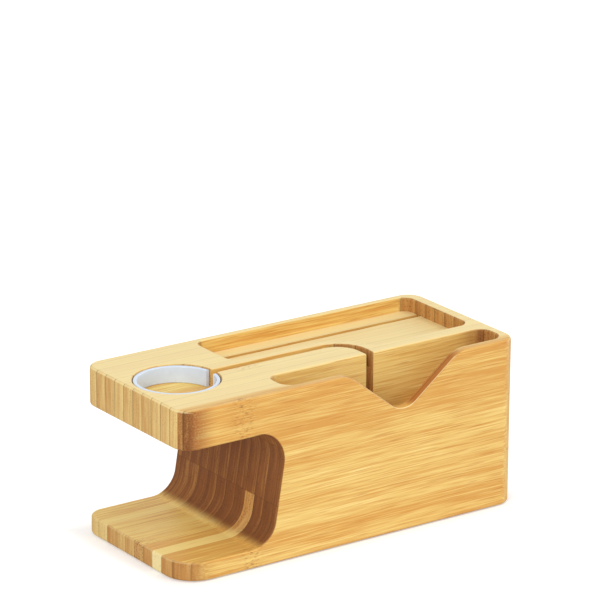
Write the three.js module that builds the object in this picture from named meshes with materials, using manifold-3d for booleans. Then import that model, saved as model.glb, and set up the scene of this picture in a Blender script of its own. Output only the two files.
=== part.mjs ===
// Charging stand of glued bamboo laths, for a desk. Millimetres, +Z up.
// The front face looks along -Y, the arm is at the -X end, and the stand rests on Z = 0.
// Places along the stand are measured from its left end, and places in depth from its front face.
import * as THREE from 'three';
import { mergeVertices } from 'three/addons/utils/BufferGeometryUtils.js';
import Module from 'manifold-3d';

const wasm = await Module();
wasm.setup();

// Glued block: laths on edge, side by side from front to back, in three layers.
// The outermost laths are planed down with the block.
const BLOCK_LENGTH = 135;
const LATH_THICKNESS = 5.45;
const FRONT_LATH_THICKNESS = 2.2;
const BACK_LATH_THICKNESS = 3.25;
const LATH_WIDTH = 19.7;
const LATH_COUNT = 12;
const LAYERS = ['bottom', 'middle', 'top'];
const CORNER_RADIUS = 6.2;
const EDGE_ROUND = 1.1;

// Gap under the arm, open at the left end and right through from front to back.
// The foot below it is rounder at its front corner.
const ARM_THICKNESS = 13.5;
const FOOT_THICKNESS = 6.6;
const FOOT_CORNER_RADIUS = 11;
const GAP_DEPTH = 34.5;
const GAP_LEAN_DEG = 9.2;
const GAP_TOP_RADIUS = 10;
const GAP_BOTTOM_RADIUS = 9.4;
const GAP_EDGE_ROUND = 0.8;

// Round pocket for a charging puck, with its split liner ring
const POCKET_DIAMETER = 29.2;
const POCKET_DEPTH = 6;
const POCKET_FROM_END = 17;
const POCKET_MOUTH_ROUND = 0.5;
const RING_WALL = 1.3;
const RING_CLEARANCE = 0.3;
const RING_RECESS = 0.25;
const RING_SPLIT = 4;

// Groove for the puck's lead, from the pocket to a drop in the slot's back wall
const LEAD_LINE = 29.4;
const GROOVE_WIDTH = 2.9;
const GROOVE_DEPTH = 6;
const GROOVE_BEND_RADIUS = 10;
const GROOVE_EXIT = 84.2;
const GROOVE_MOUTH_ROUND = 0.5;

// Upright slot along the front, and the notch in its front wall
const FRONT_WALL = 3.5;
const SLOT_WIDTH = 11.5;
const SLOT_LEFT = 42.4;
const SLOT_RIGHT_WALL = 3.8;
const SLOT_DEPTH = 24;
const SLOT_CORNER_RADIUS = 4.5;
const SLOT_MOUTH_ROUND = 0.7;
const NOTCH_CENTRE = 87.6;
const NOTCH_DEPTH = 15.45;
const NOTCH_FLANK_DEG = 38;
const NOTCH_BOTTOM_RADIUS = 8;
const NOTCH_SHOULDER_RADIUS = 12;
const NOTCH_EDGE_ROUND = 0.7;

// Shallow tray behind the slot, with a slit in its floor
const TRAY_LEFT = 42;
const TRAY_RIGHT_RIM = 4.9;
const TRAY_BACK_RIM = 3;
const TRAY_DEPTH = 5;
const TRAY_CORNER_RADIUS = 4;
const TRAY_MOUTH_ROUND = 0.6;
const SLOT_DIVIDER = 6;
const GROOVE_LAND = 3.5;
const TRAY_SLIT_LINE = 49.5;
const TRAY_SLIT_WIDTH = 2;
const TRAY_SLIT_DEPTH = 4;

// Well for a plug in the slot's floor, and the channel under the stand that the leads leave by
const WELL_LENGTH = 16;
const CHANNEL_WIDTH = 9;
const CHANNEL_HEIGHT = 8;
const CHANNEL_RADIUS = 3;

// Rubber feet pressed into blind recesses
const FOOT_PAD_DIAMETER = 9;
const FOOT_PAD_THICKNESS = 1.6;
const FOOT_PAD_PROUD = 0.3;
const FOOT_PAD_CLEARANCE = 0.3;
const FOOT_PAD_INSET = 11;

// Finishes
const BAMBOO_TONES = [0xd8a35c, 0xe0b06a, 0xcf9850, 0xe6bc7a, 0xd4a057];
const LAYER_TONE_STEP = 2;
const LATH_TONE_STEP = 3;
const BAMBOO_ROUGHNESS = 0.5;
const RING_COLOUR = 0xe4e6e8;
const RING_ROUGHNESS = 0.18;
const RUBBER_COLOUR = 0x2b2927;
const RUBBER_ROUGHNESS = 0.85;

// How finely curves are cut into facets
const ARC_DIVISIONS = 3;
const ROUND_STEPS = 3;
const CIRCLE_SIDES = 40;
const MERGE_TOLERANCE = 1e-4;
const OVERCUT = 2;

// Places that follow from the sizes above
const BLOCK_DEPTH = FRONT_LATH_THICKNESS + (LATH_COUNT - 2) * LATH_THICKNESS + BACK_LATH_THICKNESS;
const BLOCK_HEIGHT = LAYERS.length * LATH_WIDTH;
const LEFT = -BLOCK_LENGTH / 2;
const RIGHT = BLOCK_LENGTH / 2;
const FRONT = -BLOCK_DEPTH / 2;
const BACK = BLOCK_DEPTH / 2;
const BASE = FOOT_PAD_PROUD;
const TOP = BASE + BLOCK_HEIGHT;
const ARM_UNDERSIDE = TOP - ARM_THICKNESS;
const FOOT_TOP = BASE + FOOT_THICKNESS;
const GAP_LEAN = THREE.MathUtils.degToRad(GAP_LEAN_DEG);
const GAP_LOW = gapCornerCentre(FOOT_TOP + GAP_BOTTOM_RADIUS, GAP_BOTTOM_RADIUS);
const GAP_HIGH = gapCornerCentre(ARM_UNDERSIDE - GAP_TOP_RADIUS, GAP_TOP_RADIUS);
const POCKET = { x: LEFT + POCKET_FROM_END, y: FRONT + LEAD_LINE, floor: TOP - POCKET_DEPTH };
const GROOVE_BEND = { x: LEFT + GROOVE_EXIT - GROOVE_BEND_RADIUS, y: POCKET.y - GROOVE_BEND_RADIUS };
const SLOT = {
  left: LEFT + SLOT_LEFT,
  right: RIGHT - SLOT_RIGHT_WALL,
  front: FRONT + FRONT_WALL,
  back: FRONT + FRONT_WALL + SLOT_WIDTH,
  floor: TOP - SLOT_DEPTH,
};
const TRAY = {
  left: LEFT + TRAY_LEFT,
  right: RIGHT - TRAY_RIGHT_RIM,
  front: SLOT.back + SLOT_DIVIDER,
  back: BACK - TRAY_BACK_RIM,
  floor: TOP - TRAY_DEPTH,
  landRadius: GROOVE_BEND_RADIUS + GROOVE_WIDTH / 2 + GROOVE_LAND,
};
const WELL_X = LEFT + NOTCH_CENTRE;

// Outline points of a closed shape, with no point given twice
function outlinePoints(shape) {
  const points = shape.getPoints(ARC_DIVISIONS);
  const apart = (point, i) => point.distanceTo(points[(i + 1) % points.length]) > MERGE_TOLERANCE;
  return points.filter(apart);
}

// Closed skin through rings of equal point count, each a list of points in space
function loft(outlines, rings) {
  const count = outlines[0].length;
  const positions = rings.flat();
  const index = [];
  for (let k = 0; k + 1 < rings.length; k += 1) {
    for (let i = 0; i < count; i += 1) {
      const next = (i + 1) % count;
      const [a, b, c, d] = [k * count + i, k * count + next, (k + 1) * count + next, (k + 1) * count + i];
      index.push(a, b, c, a, c, d);
    }
  }
  const last = (rings.length - 1) * count;
  for (const [a, b, c] of THREE.ShapeUtils.triangulateShape(outlines[0], [])) {
    index.push(a, c, b);
  }
  for (const [a, b, c] of THREE.ShapeUtils.triangulateShape(outlines.at(-1), [])) {
    index.push(last + a, last + b, last + c);
  }
  const geometry = new THREE.BufferGeometry();
  geometry.setAttribute('position', new THREE.Float32BufferAttribute(positions.flat(), 3));
  geometry.setIndex(index);
  return geometry;
}

// Upright loft: each section is how far the outline grows and the height it has there
function uprightLoft(outline, sections) {
  const outlines = sections.map(({ grow }) => outlinePoints(outline(grow)));
  const rings = outlines.map((points, k) => points.map(({ x, y }) => [x, y, sections[k].at]));
  return loft(outlines, rings);
}

// Loft from front to back of an outline drawn in X and Z
function crossLoft(outline, sections) {
  const fromBack = [...sections].reverse();
  const outlines = fromBack.map(({ grow }) => outlinePoints(outline(grow)));
  const rings = outlines.map((points, k) => points.map(({ x, y }) => [x, fromBack[k].at, y]));
  return loft(outlines, rings);
}

// Quarter round in steps: how far the round still is from each of its two faces
function quarterRound(radius) {
  const steps = [];
  for (let i = 0; i <= ROUND_STEPS; i += 1) {
    const angle = (i / ROUND_STEPS) * (Math.PI / 2);
    steps.push({ out: radius * (1 - Math.cos(angle)), along: radius * (1 - Math.sin(angle)) });
  }
  return steps;
}

// Solid of a closed geometry, for joining and cutting
function solidOf(geometry) {
  const bare = geometry.clone();
  bare.deleteAttribute('normal');
  bare.deleteAttribute('uv');
  const merged = mergeVertices(bare, MERGE_TOLERANCE);
  const vertProperties = new Float32Array(merged.attributes.position.array);
  const triVerts = new Uint32Array(merged.index.array);
  return new wasm.Manifold(new wasm.Mesh({ numProp: 3, vertProperties, triVerts }));
}

// Geometry of a finished solid
function geometryOf(solid) {
  const { vertProperties, triVerts } = solid.getMesh();
  const geometry = new THREE.BufferGeometry();
  geometry.setAttribute('position', new THREE.BufferAttribute(new Float32Array(vertProperties), 3));
  geometry.setIndex(new THREE.BufferAttribute(new Uint32Array(triVerts), 1));
  geometry.computeVertexNormals();
  return geometry;
}

// Box between two corners
function boxSolid(low, high) {
  const size = high.map((value, i) => value - low[i]);
  const middle = high.map((value, i) => (value + low[i]) / 2);
  return solidOf(new THREE.BoxGeometry(...size).translate(...middle));
}

// Rectangle with round corners, grown outwards. The front left corner can have a radius of its own.
function roundedRectangle(left, right, front, back, radius, grow, frontLeft = radius) {
  const shape = new THREE.Shape();
  const quarter = Math.PI / 2;
  shape.absarc(right - radius, back - radius, radius + grow, 0, quarter);
  shape.absarc(left + radius, back - radius, radius + grow, quarter, 2 * quarter);
  shape.absarc(left + frontLeft, front + frontLeft, frontLeft + grow, 2 * quarter, 3 * quarter);
  shape.absarc(right - radius, front + radius, radius + grow, 3 * quarter, 4 * quarter);
  shape.closePath();
  return shape;
}

// Cutter for a hollow open at the top, its mouth rounded over
function hollowCutter(outline, floor, mouthRound) {
  const mouth = quarterRound(mouthRound).map(({ out, along }) => ({ grow: out, at: TOP - along }));
  const sections = [{ grow: 0, at: floor }, ...mouth, { grow: mouthRound, at: TOP + OVERCUT }];
  return solidOf(uprightLoft(outline, sections));
}

// Slab of the block's plan with its lower and upper edges rounded
function roundedSlab(bottom, bottomRound, top, topRound, frontLeft = CORNER_RADIUS) {
  const plan = (grow) => roundedRectangle(LEFT, RIGHT, FRONT, BACK, CORNER_RADIUS, grow, frontLeft);
  const lower = quarterRound(bottomRound).map(({ out, along }) => ({ grow: -along, at: bottom + out }));
  const upper = quarterRound(topRound).map(({ out, along }) => ({ grow: -out, at: top - along }));
  return solidOf(uprightLoft(plan, [...lower, ...upper]));
}

// Centre of a round corner at the gap's inner end, where the wall leans
function gapCornerCentre(height, radius) {
  const wall = LEFT + GAP_DEPTH + (height - FOOT_TOP) * Math.tan(GAP_LEAN);
  return { x: wall - radius / Math.cos(GAP_LEAN), z: height };
}

// Gap under the arm
function gapOutline(grow) {
  const shape = new THREE.Shape();
  shape.absarc(GAP_LOW.x, GAP_LOW.z, GAP_BOTTOM_RADIUS + grow, -Math.PI / 2, -GAP_LEAN);
  shape.absarc(GAP_HIGH.x, GAP_HIGH.z, GAP_TOP_RADIUS + grow, -GAP_LEAN, Math.PI / 2);
  shape.lineTo(LEFT - OVERCUT, ARM_UNDERSIDE + grow);
  shape.lineTo(LEFT - OVERCUT, FOOT_TOP - grow);
  shape.closePath();
  return shape;
}

// Sections from front to back of a cut that is rounded over at the two faces it comes out of
function throughSections(front, frontRound, back, backRound) {
  const opening = quarterRound(frontRound).map(({ out, along }) => ({ grow: along, at: front + out }));
  const closing = quarterRound(backRound).map(({ out, along }) => ({ grow: out, at: back - along }));
  return [
    { grow: frontRound, at: front - OVERCUT },
    ...opening,
    ...closing,
    { grow: backRound, at: back + OVERCUT },
  ];
}

// Block with its arm and foot: rounded slabs at the open end, and the full block round the gap's inner end.
// They meet halfway along the gap's straight part.
function armedBlock() {
  const corner = Math.max(CORNER_RADIUS, FOOT_CORNER_RADIUS);
  const joint = (LEFT + corner + Math.min(GAP_LOW.x, GAP_HIGH.x)) / 2;
  const low = [LEFT - OVERCUT, FRONT - OVERCUT, BASE - OVERCUT];
  const high = [RIGHT + OVERCUT, BACK + OVERCUT, TOP + OVERCUT];
  const openEnd = boxSolid(low, [joint, high[1], high[2]]);
  const closedEnd = boxSolid([joint, low[1], low[2]], high);
  const gap = solidOf(crossLoft(gapOutline, throughSections(FRONT, GAP_EDGE_ROUND, BACK, GAP_EDGE_ROUND)));
  const arm = roundedSlab(ARM_UNDERSIDE, GAP_EDGE_ROUND, TOP, EDGE_ROUND).intersect(openEnd);
  const foot = roundedSlab(BASE, EDGE_ROUND, FOOT_TOP, GAP_EDGE_ROUND, FOOT_CORNER_RADIUS).intersect(openEnd);
  const core = roundedSlab(BASE, EDGE_ROUND, TOP, EDGE_ROUND).intersect(closedEnd).subtract(gap);
  return core.add(arm).add(foot);
}

// Round pocket for the puck
function pocketCutter() {
  const radius = POCKET_DIAMETER / 2;
  const { x, y, floor } = POCKET;
  const outline = (grow) => roundedRectangle(x - radius, x + radius, y - radius, y + radius, radius, grow);
  return hollowCutter(outline, floor, POCKET_MOUTH_ROUND);
}

// Groove along the lead line, bent forwards into the slot
function grooveCutter() {
  const half = GROOVE_WIDTH / 2;
  const start = POCKET.x + POCKET_DIAMETER / 2 - OVERCUT;
  const end = SLOT.back - OVERCUT;
  const outline = (grow) => {
    const inner = GROOVE_BEND_RADIUS - half - grow;
    const outer = GROOVE_BEND_RADIUS + half + grow;
    const shape = new THREE.Shape();
    shape.absarc(GROOVE_BEND.x, GROOVE_BEND.y, inner, Math.PI / 2, 0, true);
    shape.lineTo(GROOVE_BEND.x + inner, end);
    shape.lineTo(GROOVE_BEND.x + outer, end);
    shape.absarc(GROOVE_BEND.x, GROOVE_BEND.y, outer, 0, Math.PI / 2);
    shape.lineTo(start, POCKET.y + half + grow);
    shape.lineTo(start, POCKET.y - half - grow);
    shape.closePath();
    return shape;
  };
  return hollowCutter(outline, TOP - GROOVE_DEPTH, GROOVE_MOUTH_ROUND);
}

// Upright drop in the slot's back wall, where the groove lets the lead down to the slot's floor
function dropCutter() {
  const half = GROOVE_WIDTH / 2;
  const x = LEFT + GROOVE_EXIT;
  const shape = new THREE.Shape();
  shape.absarc(x, SLOT.back + half, half, 0, Math.PI);
  shape.lineTo(x - half, SLOT.back - OVERCUT);
  shape.lineTo(x + half, SLOT.back - OVERCUT);
  shape.closePath();
  const sections = [{ grow: 0, at: SLOT.floor }, { grow: 0, at: TOP + OVERCUT }];
  return solidOf(uprightLoft(() => shape, sections));
}

// Upright slot
function slotCutter() {
  const { left, right, front, back, floor } = SLOT;
  const outline = (grow) => roundedRectangle(left, right, front, back, SLOT_CORNER_RADIUS, grow);
  return hollowCutter(outline, floor, SLOT_MOUTH_ROUND);
}

// Notch in the slot's front wall: round bottom, straight flanks and round shoulders
function notchOutline(grow) {
  const flank = THREE.MathUtils.degToRad(NOTCH_FLANK_DEG);
  const centre = LEFT + NOTCH_CENTRE;
  const bottomZ = TOP - NOTCH_DEPTH + NOTCH_BOTTOM_RADIUS;
  const shoulderZ = TOP - NOTCH_SHOULDER_RADIUS;
  const radii = NOTCH_BOTTOM_RADIUS + NOTCH_SHOULDER_RADIUS;
  const reach = (radii - (bottomZ - shoulderZ) * Math.cos(flank)) / Math.sin(flank);
  const shape = new THREE.Shape();
  const shoulder = NOTCH_SHOULDER_RADIUS - grow;
  const bottom = NOTCH_BOTTOM_RADIUS + grow;
  const up = Math.PI / 2;
  shape.absarc(centre - reach, shoulderZ, shoulder, up, up - flank, true);
  shape.absarc(centre, bottomZ, bottom, -up - flank, -up + flank);
  shape.absarc(centre + reach, shoulderZ, shoulder, up + flank, up, true);
  shape.lineTo(centre + reach, TOP + OVERCUT);
  shape.lineTo(centre - reach, TOP + OVERCUT);
  shape.closePath();
  return shape;
}

function notchCutter() {
  const sections = throughSections(FRONT, NOTCH_EDGE_ROUND, SLOT.front, SLOT_MOUTH_ROUND);
  return solidOf(crossLoft(notchOutline, sections));
}

// Tray: its near edge follows the groove at an even distance, then the slot
function trayOutline(grow) {
  const { left, right, front, back, landRadius } = TRAY;
  const radius = TRAY_CORNER_RADIUS;
  const filletY = front + radius;
  const filletX = GROOVE_BEND.x + Math.sqrt((landRadius + radius) ** 2 - (filletY - GROOVE_BEND.y) ** 2);
  const turn = Math.atan2(filletY - GROOVE_BEND.y, filletX - GROOVE_BEND.x);
  const nearLeft = GROOVE_BEND.y + landRadius;
  const quarter = Math.PI / 2;
  const shape = new THREE.Shape();
  shape.absarc(right - radius, back - radius, radius + grow, 0, quarter);
  shape.absarc(left + radius, back - radius, radius + grow, quarter, 2 * quarter);
  shape.absarc(left + radius, nearLeft + radius, radius + grow, 2 * quarter, 3 * quarter);
  shape.absarc(GROOVE_BEND.x, GROOVE_BEND.y, landRadius - grow, quarter, turn, true);
  shape.absarc(filletX, filletY, radius + grow, turn + Math.PI, 3 * quarter);
  shape.absarc(right - radius, front + radius, radius + grow, 3 * quarter, 4 * quarter);
  shape.closePath();
  return shape;
}

function trayCutter() {
  return hollowCutter(trayOutline, TRAY.floor, TRAY_MOUTH_ROUND);
}

// Slit in the tray's floor, from one end of the tray to the other
function traySlitCutter() {
  const middle = FRONT + TRAY_SLIT_LINE;
  const low = [TRAY.left, middle - TRAY_SLIT_WIDTH / 2, TRAY.floor - TRAY_SLIT_DEPTH];
  const high = [TRAY.right, middle + TRAY_SLIT_WIDTH / 2, TRAY.floor + OVERCUT];
  return boxSolid(low, high);
}

// Well through the slot's floor, and the channel from it to the back under the stand
function wellCutter() {
  const low = [WELL_X - WELL_LENGTH / 2, SLOT.front, BASE - OVERCUT];
  const high = [WELL_X + WELL_LENGTH / 2, SLOT.back, SLOT.floor + OVERCUT];
  return boxSolid(low, high);
}

function channelCutter() {
  const half = CHANNEL_WIDTH / 2;
  const reach = half - CHANNEL_RADIUS;
  const springing = BASE + CHANNEL_HEIGHT - CHANNEL_RADIUS;
  const shape = new THREE.Shape();
  shape.absarc(WELL_X + reach, springing, CHANNEL_RADIUS, 0, Math.PI / 2);
  shape.absarc(WELL_X - reach, springing, CHANNEL_RADIUS, Math.PI / 2, Math.PI);
  shape.lineTo(WELL_X - half, BASE - OVERCUT);
  shape.lineTo(WELL_X + half, BASE - OVERCUT);
  shape.closePath();
  const sections = [{ grow: 0, at: SLOT.back - OVERCUT }, { grow: 0, at: BACK + OVERCUT }];
  return solidOf(crossLoft(() => shape, sections));
}

// Centres of the feet, from the front left round to the front right
function footPadCentres() {
  const x = RIGHT - FOOT_PAD_INSET;
  const y = BACK - FOOT_PAD_INSET;
  return { front_left: [-x, -y], back_left: [-x, y], back_right: [x, y], front_right: [x, -y] };
}

// Upright round disc
function disc(diameter, bottom, height, [x, y]) {
  const geometry = new THREE.CylinderGeometry(diameter / 2, diameter / 2, height, CIRCLE_SIDES);
  return geometry.rotateX(Math.PI / 2).translate(x, y, bottom + height / 2);
}

function footRecessCutters() {
  const diameter = FOOT_PAD_DIAMETER + 2 * FOOT_PAD_CLEARANCE;
  const centres = Object.values(footPadCentres());
  return centres.map((centre) => solidOf(disc(diameter, 0, FOOT_PAD_THICKNESS, centre)));
}

// Whole block with every hollow cut
function finishedBlock() {
  const cutters = [
    pocketCutter(),
    grooveCutter(),
    dropCutter(),
    slotCutter(),
    notchCutter(),
    trayCutter(),
    traySlitCutter(),
    wellCutter(),
    channelCutter(),
    ...footRecessCutters(),
  ];
  return cutters.reduce((block, cutter) => block.subtract(cutter), armedBlock());
}

// Seam in front of a lath, where 0 is the front lath
function lathSeam(lath) {
  return FRONT + FRONT_LATH_THICKNESS + (lath - 1) * LATH_THICKNESS;
}

// Box that holds one lath of one layer; the outermost laths take all that stands outside the seams
function lathBox(layer, lath) {
  const front = lath === 0 ? FRONT - OVERCUT : lathSeam(lath);
  const back = lath === LATH_COUNT - 1 ? BACK + OVERCUT : lathSeam(lath + 1);
  const bottom = BASE + layer * LATH_WIDTH - (layer === 0 ? OVERCUT : 0);
  const top = BASE + (layer + 1) * LATH_WIDTH + (layer === LAYERS.length - 1 ? OVERCUT : 0);
  return boxSolid([LEFT - OVERCUT, front, bottom], [RIGHT + OVERCUT, back, top]);
}

// Names of the lengths that a cut leaves of one lath, from left to right
function lengthNames(name, count) {
  const sides = ['left', 'right'];
  return count === 1 ? [name] : Array.from({ length: count }, (_, i) => `${name}_${sides[i] ?? i}`);
}

// Non-metallic finish of one colour
function plainMaterial(color, roughness) {
  return new THREE.MeshStandardMaterial({ color, roughness, metalness: 0 });
}

// Neighbouring laths and layers take different tones
function bambooMaterial(layer, lath) {
  const tone = (LAYER_TONE_STEP * layer + LATH_TONE_STEP * lath) % BAMBOO_TONES.length;
  return plainMaterial(BAMBOO_TONES[tone], BAMBOO_ROUGHNESS);
}

function addMesh(group, name, geometry, material) {
  const mesh = new THREE.Mesh(geometry, material);
  mesh.name = name;
  group.add(mesh);
}

// Laths, numbered from the front
function addLaths(group) {
  const block = finishedBlock();
  LAYERS.forEach((layerName, layer) => {
    for (let lath = 0; lath < LATH_COUNT; lath += 1) {
      const lengths = block.intersect(lathBox(layer, lath)).decompose();
      lengths.sort((a, b) => a.boundingBox().min[0] - b.boundingBox().min[0]);
      const name = `${layerName}_lath_${String(lath + 1).padStart(2, '0')}`;
      lengthNames(name, lengths.length).forEach((lengthName, i) => {
        addMesh(group, lengthName, geometryOf(lengths[i]), bambooMaterial(layer, lath));
      });
    }
  });
}

// Split liner ring, open where the groove meets the pocket
function addLinerRing(group) {
  const outer = POCKET_DIAMETER / 2 - RING_CLEARANCE;
  const inner = outer - RING_WALL;
  const opening = RING_SPLIT / 2 / inner;
  const shape = new THREE.Shape();
  shape.absarc(POCKET.x, POCKET.y, outer, opening, 2 * Math.PI - opening);
  shape.absarc(POCKET.x, POCKET.y, inner, 2 * Math.PI - opening, opening, true);
  shape.closePath();
  const depth = POCKET_DEPTH - RING_RECESS;
  const geometry = new THREE.ExtrudeGeometry(shape, {
    depth,
    bevelEnabled: false,
    curveSegments: CIRCLE_SIDES / 2,
  });
  const material = plainMaterial(RING_COLOUR, RING_ROUGHNESS);
  addMesh(group, 'pocket_liner_ring', geometry.translate(0, 0, POCKET.floor), material);
}

function addFeet(group) {
  for (const [place, centre] of Object.entries(footPadCentres())) {
    const material = plainMaterial(RUBBER_COLOUR, RUBBER_ROUGHNESS);
    addMesh(group, `foot_pad_${place}`, disc(FOOT_PAD_DIAMETER, 0, FOOT_PAD_THICKNESS, centre), material);
  }
}

const stand = new THREE.Group();
addLaths(stand);
addLinerRing(stand);
addFeet(stand);

export default stand;
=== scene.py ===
"""Charging stand of glued bamboo laths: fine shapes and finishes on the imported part. Metres, +Z up."""
import math
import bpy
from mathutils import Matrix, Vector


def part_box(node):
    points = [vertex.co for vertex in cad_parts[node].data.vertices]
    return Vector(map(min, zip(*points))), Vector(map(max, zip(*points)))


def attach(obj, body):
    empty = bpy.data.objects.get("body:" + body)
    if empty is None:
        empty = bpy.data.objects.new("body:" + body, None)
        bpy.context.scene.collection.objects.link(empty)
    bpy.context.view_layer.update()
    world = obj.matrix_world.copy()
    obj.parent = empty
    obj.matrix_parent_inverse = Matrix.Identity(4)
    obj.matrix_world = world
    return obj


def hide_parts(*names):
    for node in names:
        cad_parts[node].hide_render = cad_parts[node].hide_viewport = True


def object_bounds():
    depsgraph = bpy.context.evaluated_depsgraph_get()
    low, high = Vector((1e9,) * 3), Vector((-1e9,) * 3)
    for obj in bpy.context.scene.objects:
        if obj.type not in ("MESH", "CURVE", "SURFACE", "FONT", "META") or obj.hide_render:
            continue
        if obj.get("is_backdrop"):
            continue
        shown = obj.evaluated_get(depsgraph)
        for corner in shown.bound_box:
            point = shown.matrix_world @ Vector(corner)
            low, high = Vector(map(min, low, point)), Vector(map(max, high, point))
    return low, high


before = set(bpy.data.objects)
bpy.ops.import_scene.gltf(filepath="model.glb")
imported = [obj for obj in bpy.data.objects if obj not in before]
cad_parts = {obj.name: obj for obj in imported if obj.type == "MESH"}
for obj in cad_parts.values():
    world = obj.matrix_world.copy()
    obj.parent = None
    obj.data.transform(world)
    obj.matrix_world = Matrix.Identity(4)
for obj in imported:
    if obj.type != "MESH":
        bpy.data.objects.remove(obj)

from types import SimpleNamespace

import bmesh
import bpy
from bpy.props import FloatProperty, FloatVectorProperty, PointerProperty
from mathutils import Matrix, Vector

bl_info = {
    "name": "Bamboo charging stand",
    "version": (1, 0, 0),
    "blender": (4, 5, 0),
    "location": "3D View > Sidebar > Stand",
    "description": "Builds a desk stand of glued bamboo laths, its liner ring, its rubber feet and a stage",
    "category": "Object",
}

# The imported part's own box, and the plane that the bamboo starts on
CAD_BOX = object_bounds()
BLOCK_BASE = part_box("bottom_lath_06")[0].z
BODY = "root"
MM = 0.001

# How finely curves are cut into facets
ARC_STEPS = 14
ROUND_STEPS = 6
RING_STEPS = 144
PAD_SIDES = 64
OVERCUT = 0.002
SAME_POINT = 1e-7
SHARP_ANGLE = math.radians(35)

LAYERS = ("bottom", "middle", "top")
LATH_COUNT = 12


# Properties


def length(name, millimetres, description):
    """A size in the scene's unit of length."""
    return FloatProperty(
        name=name,
        description=description,
        default=millimetres * MM,
        subtype="DISTANCE",
        unit="LENGTH",
        precision=5,
    )


def angle(name, degrees, description):
    """An angle, shown in degrees."""
    return FloatProperty(
        name=name,
        description=description,
        default=math.radians(degrees),
        subtype="ANGLE",
        unit="ROTATION",
    )


def colour(name, red, green, blue, description):
    """A colour, written as it is shown on a screen from 0 to 255."""
    return FloatVectorProperty(
        name=name,
        description=description,
        default=[linear(channel / 255) for channel in (red, green, blue)],
        subtype="COLOR",
        size=3,
        min=0,
        max=1,
    )


def linear(channel):
    """Screen value of one colour channel as light."""
    if channel <= 0.04045:
        return channel / 12.92
    return ((channel + 0.055) / 1.055) ** 2.4


class StandBlockSizes(bpy.types.PropertyGroup):
    """Sizes of the bamboo block and of the hollows that are cut into it."""

    lath_thickness: length("Lath thickness", 5.45, "Front to back through one lath")
    front_lath: length("Front lath", 2.2, "Front to back through the front lath, which is planed down")
    lath_width: length("Lath width", 19.7, "Height of one layer of laths")
    corner_radius: length("Corner radius", 6.2, "Upright corners of the block")
    edge_round: length("Edge round", 1.1, "Rounding of the block's outer edges")

    arm_thickness: length("Arm thickness", 13.5, "Height of the arm over the gap")
    foot_thickness: length("Foot thickness", 6.6, "Height of the foot under the gap")
    foot_corner_radius: length("Foot corner radius", 11.0, "Upright front corner of the foot's open end")
    gap_depth: length("Gap depth", 34.5, "From the left end to the gap's inner wall, at the foot")
    gap_lean: angle("Gap lean", 9.2, "How far the gap's inner wall leans from upright")
    gap_top_radius: length("Gap top radius", 10.0, "Inner corner under the arm")
    gap_bottom_radius: length("Gap bottom radius", 9.4, "Inner corner over the foot")
    gap_edge_round: length("Gap edge round", 0.8, "Rounding of the gap's edges")

    pocket_diameter: length("Pocket diameter", 29.2, "Round pocket in the arm")
    pocket_depth: length("Pocket depth", 6.0, "Depth of the round pocket")
    pocket_from_end: length("Pocket place", 17.0, "From the left end to the pocket's middle")
    pocket_mouth_round: length("Pocket mouth round", 0.5, "Rounding of the pocket's rim")

    lead_line: length("Lead line", 29.4, "From the front face to the line of the pocket and the groove")
    groove_width: length("Groove width", 2.9, "Width of the lead groove")
    groove_depth: length("Groove depth", 6.0, "Depth of the lead groove")
    groove_bend_radius: length("Groove bend radius", 10.0, "Bend of the groove towards the slot")
    groove_exit: length("Groove exit", 84.2, "From the left end to the drop in the slot's back wall")
    groove_mouth_round: length("Groove mouth round", 0.5, "Rounding of the groove's edges")

    front_wall: length("Front wall", 3.5, "Thickness of the wall in front of the slot")
    slot_width: length("Slot width", 11.5, "Front to back of the upright slot")
    slot_left: length("Slot start", 42.4, "From the left end to the slot")
    slot_right_wall: length("Slot end wall", 3.8, "Wall between the slot and the right end")
    slot_depth: length("Slot depth", 24.0, "Depth of the upright slot")
    slot_corner_radius: length("Slot corner radius", 4.5, "Upright corners of the slot")
    slot_mouth_round: length("Slot mouth round", 0.7, "Rounding of the slot's rim")
    notch_centre: length("Notch place", 87.6, "From the left end to the notch's middle")
    notch_depth: length("Notch depth", 15.45, "Depth of the notch in the front wall")
    notch_flank: angle("Notch flank", 38.0, "Slope of the notch's flanks")
    notch_bottom_radius: length("Notch bottom radius", 8.0, "Round bottom of the notch")
    notch_shoulder_radius: length("Notch shoulder radius", 12.0, "Round shoulders of the notch")
    notch_edge_round: length("Notch edge round", 0.7, "Rounding of the notch's front edge")

    tray_left: length("Tray start", 42.0, "From the left end to the tray")
    tray_right_rim: length("Tray end rim", 4.9, "Rim between the tray and the right end")
    tray_back_rim: length("Tray back rim", 3.0, "Rim between the tray and the back")
    tray_depth: length("Tray depth", 5.0, "Depth of the shallow tray")
    tray_corner_radius: length("Tray corner radius", 4.0, "Upright corners of the tray")
    tray_mouth_round: length("Tray mouth round", 0.6, "Rounding of the tray's rim")
    slot_divider: length("Slot divider", 6.0, "Wall between the slot and the tray")
    groove_land: length("Groove land", 3.5, "Strip between the groove and the tray")
    tray_slit_line: length("Tray slit line", 49.5, "From the front face to the slit in the tray's floor")
    tray_slit_width: length("Tray slit width", 2.0, "Width of the slit in the tray's floor")
    tray_slit_depth: length("Tray slit depth", 4.0, "Depth of the slit under the tray's floor")

    well_length: length("Well length", 16.0, "Length of the plug well in the slot's floor")
    channel_width: length("Channel width", 9.0, "Width of the lead channel under the stand")
    channel_height: length("Channel height", 8.0, "Height of the lead channel")
    channel_radius: length("Channel radius", 3.0, "Upper corners of the lead channel")


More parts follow.
